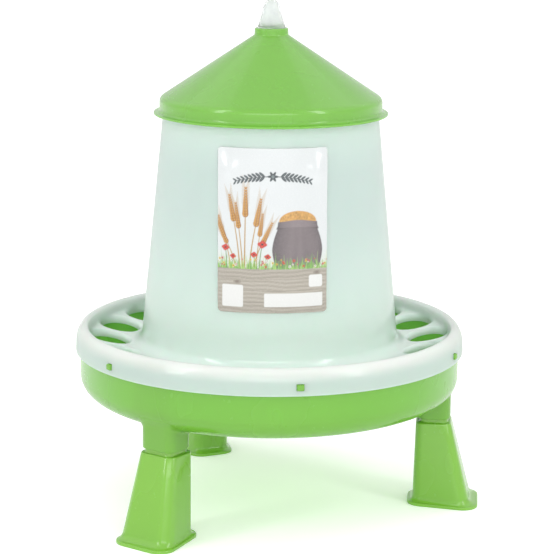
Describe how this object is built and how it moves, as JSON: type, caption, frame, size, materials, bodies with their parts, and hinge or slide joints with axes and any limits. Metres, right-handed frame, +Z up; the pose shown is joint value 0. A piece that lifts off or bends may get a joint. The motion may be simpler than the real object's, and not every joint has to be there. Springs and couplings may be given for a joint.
{
  "type": "gravity poultry feeder",
  "caption": "Gravity poultry feeder: a lidded hopper on a round pan with a ring of feeding holes, raised on plug-in legs.",
  "frame": {"origin": "on the feeder's vertical axis at floor level, under the middle of the round pan", "axes": "+Z up; -Y is the front, where the label is; +X is to the right of someone facing the label"},
  "size_m": [0.3151, 0.3064, 0.3885],
  "materials": {
    "green_plastic": "semi-gloss injection-moulded",
    "translucent_plastic": "translucent milky, smooth",
    "printed_label": "glossy printed film",
    "clear_plastic": "clear, glossy"
  },
  "bodies": {
    "base": {"pan": "green_plastic"},
    "hopper_unit": {"hopper": "translucent_plastic", "feeding_ring": "translucent_plastic", "label": "printed_label"},
    "lid_unit": {"lid": "green_plastic", "finial_cap": "clear_plastic"},
    "leg_right_unit": {"leg_right": "green_plastic"},
    "leg_left_unit": {"leg_left": "green_plastic"},
    "leg_rear_unit": {"leg_rear": "green_plastic"}
  },
  "joints": [
    {"name": "hopper_lift", "type": "slide", "parent": "base", "child": "hopper_unit", "axis": [0, 0, 1], "range_m": [0, 0.08]},
    {"name": "lid_lift", "type": "slide", "parent": "hopper_unit", "child": "lid_unit", "axis": [0, 0, 1], "range_m": [0, 0.1]},
    {"name": "leg_right_pull", "type": "slide", "parent": "base", "child": "leg_right_unit", "axis": [0, 0, -1], "range_m": [0, 0.02]},
    {"name": "leg_left_pull", "type": "slide", "parent": "base", "child": "leg_left_unit", "axis": [0, 0, -1], "range_m": [0, 0.02]},
    {"name": "leg_rear_pull", "type": "slide", "parent": "base", "child": "leg_rear_unit", "axis": [0, 0, -1], "range_m": [0, 0.02]}
  ]
}
